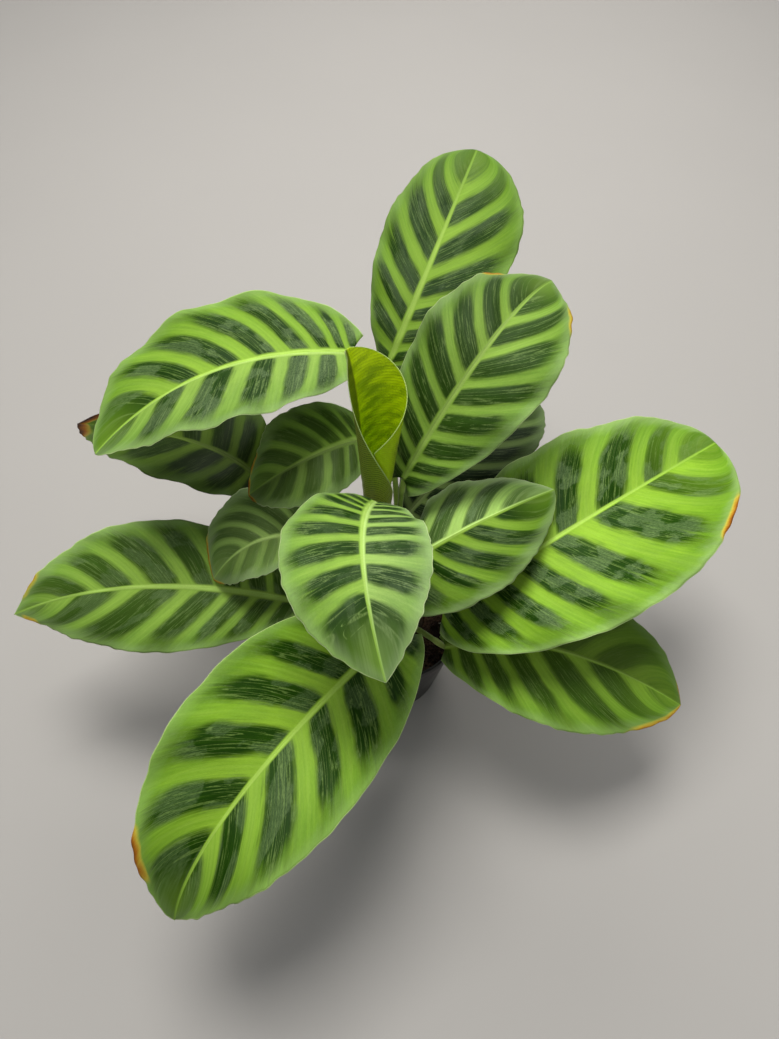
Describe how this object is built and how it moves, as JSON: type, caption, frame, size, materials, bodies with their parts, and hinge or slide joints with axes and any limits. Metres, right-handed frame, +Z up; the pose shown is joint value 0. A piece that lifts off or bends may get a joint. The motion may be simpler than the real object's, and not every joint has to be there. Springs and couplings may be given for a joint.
{
  "type": "potted calathea",
  "caption": "Zebra-striped calathea house plant with broad waved leaves on bending stalks, growing from a crown in soil in a small dark nursery pot; stands on any flat surface.",
  "frame": {"origin": "middle of the pot's flat underside, on the surface it stands on", "axes": "+Z up along the pot's axis; -Y is the front, the side the plant is looked at from; +X to the right"},
  "size_m": [0.5765, 0.5581, 0.3735],
  "materials": {
    "pot": "satin",
    "soil": "rough, moist potting mix",
    "crown": "dry, fibrous",
    "stalk": "satin",
    "leaf": "velvety satin",
    "young_leaf": "satin"
  },
  "bodies": {
    "root": {"pot": "pot", "soil": "soil", "crown": "crown", "leaf_back_blade": "leaf", "leaf_back_right_high_blade": "leaf", "leaf_back_right_high_stalk": "stalk", "leaf_back_right_under_blade": "leaf", "leaf_back_right_under_stalk": "stalk", "leaf_back_stalk": "stalk", "leaf_front_high_blade": "leaf", "leaf_front_high_stalk": "stalk", "leaf_front_long_blade": "leaf", "leaf_front_long_stalk": "stalk", "leaf_left_high_blade": "leaf", "leaf_left_high_stalk": "stalk", "leaf_left_inner_blade": "leaf", "leaf_left_inner_stalk": "stalk", "leaf_left_low_blade": "leaf", "leaf_left_low_stalk": "stalk", "leaf_left_small_blade": "leaf", "leaf_left_small_stalk": "stalk", "leaf_left_under_blade": "leaf", "leaf_left_under_stalk": "stalk", "leaf_right_broad_blade": "leaf", "leaf_right_broad_stalk": "stalk", "leaf_right_inner_blade": "leaf", "leaf_right_inner_stalk": "stalk", "leaf_right_low_blade": "leaf", "leaf_right_low_stalk": "stalk", "leaf_rolled_blade": "young_leaf", "leaf_rolled_stalk": "stalk"}
  },
  "joints": []
}
